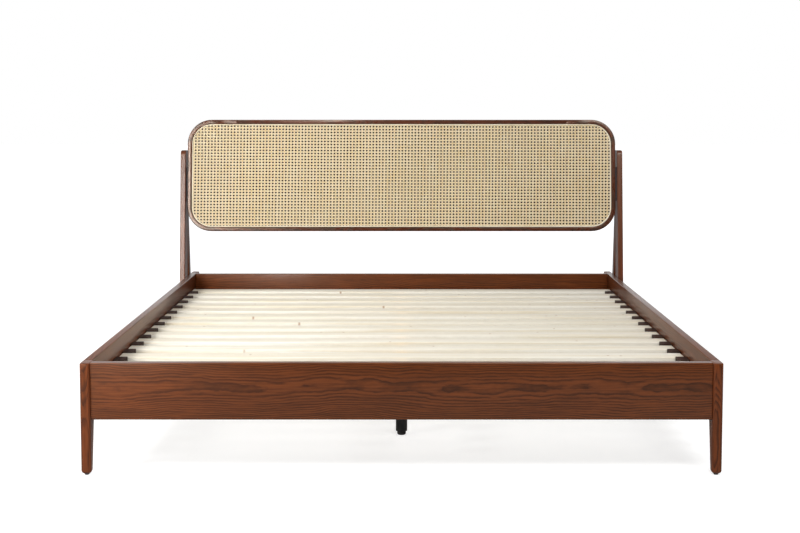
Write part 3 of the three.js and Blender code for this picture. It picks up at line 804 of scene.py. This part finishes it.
def woven_cane():
    """Six-way cane: paired uprights woven through paired crosswise strands, and diagonals that pass
    between the holes, over one pair and under the next."""
    fine = 12   # samples between two holes while a strand is cut to length
    reach_u = int(PANEL_HALF / PITCH_X) + 2
    reach_v = int(PANEL_HIGH / 2 / PITCH_Z) + 2
    along_u = np.arange(-reach_u * fine, reach_u * fine + 1) / fine
    along_v = np.arange(-reach_v * fine, reach_v * fine + 1) / fine

    # The paired uprights and crosswise strands take the tanner copy of the cane, partly painted shade for
    # their crossings.
    uprights = Strands("cane_uprights", STRAND, CANE_SHADED)
    for k in range(-reach_u, reach_u):
        for twin in (-1, 1):
            u = np.full(len(along_v), k + 0.5 + twin * PAIR_X / PITCH_X / 2)
            uprights.add(u, along_v, fine // 3, lambda u, v, turn=k + (twin > 0):
                         UPRIGHT_LIFT + WEAVE * np.cos(math.pi * (v + 0.5 + turn)))
    uprights.finish()

    crosswise = Strands("cane_crosswise", STRAND, CANE_SHADED)
    for k in range(-reach_v, reach_v):
        for twin in (-1, 1):
            v = np.full(len(along_u), k + 0.5 + twin * PAIR_Z / PITCH_Z / 2)
            crosswise.add(along_u, v, fine // 3, lambda u, v, turn=k + (twin > 0):
                          CROSSWISE_LIFT + WEAVE * 0.5 * np.cos(math.pi * (u + 0.5 + turn)))
    crosswise.finish()

    for name, slope in (("cane_rising", 1), ("cane_falling", -1)):
        diagonal = Strands(name, DIAGONAL, CANE_DIAGONAL)
        for k in range(-reach_u - reach_v, reach_u + reach_v):
            diagonal.add(along_u, slope * (along_u - k - 0.5), fine // 2, lambda u, v, way=slope:
                         DIAGONAL_LIFT - way * WEAVE * 0.8 * np.cos(2 * math.pi * u))
        diagonal.finish()


woven_cane()


# ---------- turned and metal parts ----------
def lathe(name, profile, axis_point, axis, material, node, body="frame", sides=48):
    """A turned part: profile is (distance along the axis, radius) from one end to the other."""
    along = Vector(axis).normalized()
    across = along.orthogonal().normalized()
    third = along.cross(across)
    rings = []
    for distance, radius in profile:
        ring = []
        for k in range(sides):
            angle = 2 * math.pi * k / sides
            ring.append(Vector(axis_point) + along * distance
                        + (across * math.cos(angle) + third * math.sin(angle)) * radius)
        rings.append(ring)
    vertices, faces = loft(rings)
    points = np.array([tuple(v) for v in vertices]) - np.array(axis_point)
    frame_axes = np.array([tuple(along), tuple(across), tuple(third)])
    made = new_object(name, vertices, faces, points @ frame_axes.T + random_offset(), material)
    settle(made, node, body=body)


def eased_cylinder(length, radius, edge, start=0.0, steps=3):
    """Profile of a cylinder with rounded rims."""
    profile = [(start + edge * (1 - math.cos(math.pi / 2 * s / steps)),
                radius - edge * (1 - math.sin(math.pi / 2 * s / steps))) for s in range(steps + 1)]
    return profile + [(2 * start + length - d, r) for d, r in reversed(profile)]


FOOT_TRAVEL = 10 * MM
SOCKET_PLAY = 1.5 * MM       # round the foot, in the end of the leg
BORE_RADIUS = 4.6 * MM       # round the foot's stud


def centre_leg(place):
    """Steel tube leg with a socket that takes the levelling foot and a bore that takes its stud."""
    node = f"centre_leg_{place}"
    low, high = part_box(node)
    foot_low, foot_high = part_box(f"levelling_foot_{place}")
    centre = (low + high) / 2
    socket = (foot_high.x - foot_low.x) / 2 + SOCKET_PLAY
    bore_top = foot_high.z + FOOT_TRAVEL + 2 * MM - low.z
    inside = [(bore_top, BORE_RADIUS), (FOOT_TRAVEL, BORE_RADIUS), (FOOT_TRAVEL, socket),
              (0.5 * MM, socket), (0.0, socket + 0.5 * MM)]
    outside = eased_cylinder(high.z - low.z, (high.x - low.x) / 2, 1.5 * MM)
    lathe(f"{node}_turned", inside + outside, (centre.x, centre.y, low.z), (0, 0, 1), BLACK_PAINT,
          node)


for place in CENTRE_PLACES:
    centre_leg(place)


FOOT_HIGH = 13 * MM          # to its shoulder
STUD_RADIUS = 4 * MM
THREAD_TURNS = 24
THREAD_DEEP = 0.6 * MM


def levelling_foot(place):
    """Moulded foot with a soft lower rim, on a threaded stud; rides on its own screw body."""
    node = f"levelling_foot_{place}"
    low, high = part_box(node)
    centre, radius = (low + high) / 2, (high.x - low.x) / 2
    profile = [(0.0, radius - 5 * MM), (0.5 * MM, radius - 3 * MM), (1.5 * MM, radius - 1.5 * MM),
               (3.0 * MM, radius - 0.5 * MM), (5.0 * MM, radius), (FOOT_HIGH - 0.8 * MM, radius),
               (FOOT_HIGH - 0.2 * MM, radius - 0.3 * MM), (FOOT_HIGH, radius - 0.8 * MM),
               (FOOT_HIGH, STUD_RADIUS)]
    for k in range(THREAD_TURNS):
        at = FOOT_HIGH + 1 * MM + k * (high.z - FOOT_HIGH - 2.5 * MM) / THREAD_TURNS
        profile += [(at, STUD_RADIUS - THREAD_DEEP), (at + 0.65 * MM, STUD_RADIUS)]
    profile.append((high.z, STUD_RADIUS - 1 * MM))
    lathe(f"{node}_moulded", profile, (centre.x, centre.y, low.z), (0, 0, 1), BLACK_PLASTIC,
          node, body=node)


for place in CENTRE_PLACES:
    levelling_foot(place)


BOLT_SHANK = 4 * MM
BOLT_HEAD_HIGH = 4 * MM
BOLT_RIM_HIGH = 1.2 * MM     # straight edge of the head


def dome_bolt(node):
    """Button-head bolt with a round recess, seen on the outer face of a post or brace."""
    low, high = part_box(node)
    side = 1 if high.x > 0 else -1
    outer, inner = (high.x, low.x) if side > 0 else (low.x, high.x)
    centre = (low + high) / 2
    head = (high.z - low.z) / 2
    length = abs(outer - inner)
    seat = length - BOLT_HEAD_HIGH
    profile = [(0.0, BOLT_SHANK - 0.8 * MM), (0.8 * MM, BOLT_SHANK), (seat + 0.3 * MM, BOLT_SHANK),
               (seat + 0.3 * MM, head - 0.2 * MM), (seat + 0.7 * MM, head)]
    profile += [(seat + BOLT_RIM_HIGH + (BOLT_HEAD_HIGH - BOLT_RIM_HIGH) * math.sin(a), head * math.cos(a))
                for a in (0.15, 0.35, 0.6, 0.85, 1.05)]
    profile += [(length - 0.15 * MM, 2.9 * MM), (length - 0.5 * MM, 2.5 * MM),
                (length - 2.2 * MM, 2.3 * MM)]
    lathe(f"{node}_button_head", profile, (inner, centre.y, centre.z), (side, 0, 0), STEEL, node)


for side in SIDES:
    for part in ("post", "brace"):
        dome_bolt(f"{part}_bolt_{side}")


# ---------- carried-over CAD nodes ----------
def dress(node, material, width):
    """Keeps a CAD node's mesh and gives it a finish and softly broken edges."""
    shown = NODES[node]
    shown.data.materials.clear()
    shown.data.materials.append(material)
    add_bevel(shown, width, angle=35)


for end in ENDS:
    dress(f"beam_bracket_{end}", STEEL, 0.5 * MM)
    for side in SIDES:
        dress(f"{end}_{side}_glide", BLACK_PLASTIC, 0.6 * MM)
        dress(f"corner_bracket_{end}_{side}", STEEL, 0.5 * MM)
for side in SIDES:
    dress(f"headboard_plate_{side}", BLACK_PAINT, 1.0 * MM)


# ---------- floor, world and lights ----------
FLOOR_BOUNCE = 0.6
FLOOR_GLOW = (0.66, 0.95)    # near the bed, and far from it
GLOW_REACH = (1.5, 4.0)      # metres from the middle of the bed between the two
FLOOR_HALF = 30.0
WORLD_SIDES = [   # how brightly the room shines from each side: axis, direction, strength
    (1, 1, 1.0), (1, -1, 0.0), (0, -1, 0.1), (0, 1, 0.1), (2, 1, 0.3),
]


def camera_ray(tree):
    return tree.node("ShaderNodeLightPath").outputs["Is Camera Ray"]


def add_floor():
    """Pale floor. To the camera it is nearly evened out to white, like a lit sweep; near the bed soft
    shadows remain."""
    t = Tree("studio_floor")
    t.finish((FLOOR_BOUNCE, FLOOR_BOUNCE, FLOOR_BOUNCE, 1), 0.9)
    t.shader.inputs["Specular IOR Level"].default_value = 0.1
    t.put(t.shader.inputs["Emission Color"], (1, 1, 1, 1))
    away = t.node("ShaderNodeVectorMath", {0: t.place()}, operation="LENGTH").outputs["Value"]
    glow = t.level(away, *GLOW_REACH, *FLOOR_GLOW)
    t.put(t.shader.inputs["Emission Strength"], t.math("MULTIPLY", camera_ray(t), glow))
    corners = [(x * FLOOR_HALF, y * FLOOR_HALF, 0) for x, y in ((-1, -1), (1, -1), (1, 1), (-1, 1))]
    mesh = bpy.data.meshes.new("studio_floor")
    mesh.from_pydata(corners, [], [(0, 1, 2, 3)])
    mesh.materials.append(t.material)
    floor = bpy.data.objects.new("studio_floor", mesh)
    bpy.context.scene.collection.objects.link(floor)


def add_world():
    """White surroundings for the eye; as light, each side of the room has its own strength."""
    world = bpy.data.worlds.new("studio")
    world.use_nodes = True
    tree = world.node_tree
    nodes, links = tree.nodes, tree.links
    background = nodes["Background"]
    background.inputs["Color"].default_value = (1, 1, 1, 1)

    def math_node(operation, *inputs):
        made = nodes.new("ShaderNodeMath")
        made.operation = operation
        for socket, value in zip(made.inputs, inputs):
            if isinstance(value, bpy.types.NodeSocket):
                links.new(value, socket)
            else:
                socket.default_value = value
        return made.outputs[0]

    split = nodes.new("ShaderNodeSeparateXYZ")
    links.new(nodes.new("ShaderNodeTexCoord").outputs["Generated"], split.inputs[0])
    total = None
    for axis, direction, strength in WORLD_SIDES:
        facing = math_node("MAXIMUM", math_node("MULTIPLY", split.outputs[axis], direction), 0.0)
        share = math_node("MULTIPLY", math_node("MULTIPLY", facing, facing), strength)
        total = share if total is None else math_node("ADD", total, share)
    seen = nodes.new("ShaderNodeLightPath").outputs["Is Camera Ray"]
    links.new(math_node("MAXIMUM", total, seen), background.inputs["Strength"])
    bpy.context.scene.world = world


def add_light(name, place, target, size, power, spread=180):
    """Soft rectangular light; spread is the width of its beam in degrees."""
    data = bpy.data.lights.new(name, "AREA")
    data.shape = "RECTANGLE"
    data.size, data.size_y = size
    data.energy = power
    data.spread = math.radians(spread)
    light = bpy.data.objects.new(name, data)
    light.location = place
    light.rotation_euler = (Vector(target) - Vector(place)).to_track_quat("-Z", "Y").to_euler()
    light.visible_camera = False
    bpy.context.scene.collection.objects.link(light)


add_floor()
add_world()
add_light("key", (-4.0, FOOT_END - 2.4, 3.6), (0.1, 0.1, 0.4), (1.0, 1.0), 146)
add_light("window_left", (-1.76, FOOT_END - 1.5, 1.25), (-0.9, 0.9, 0.75), (0.5, 1.4), 9.5, spread=75)
add_light("low_left", (-2.6, FOOT_END - 1.2, 0.5), (-0.3, FOOT_END, 0.25), (0.8, 0.8), 5.5)
add_light("strip_left", (-3.2, 0.1, 1.5), (0.0, 0.9, 0.7), (1.2, 1.8), 14)
add_light("overhead", (1.4, -3.0, 3.3), (0.5, 0.3, 0.3), (2.2, 2.2), 108)

bpy.context.scene.view_settings.view_transform = "Standard"
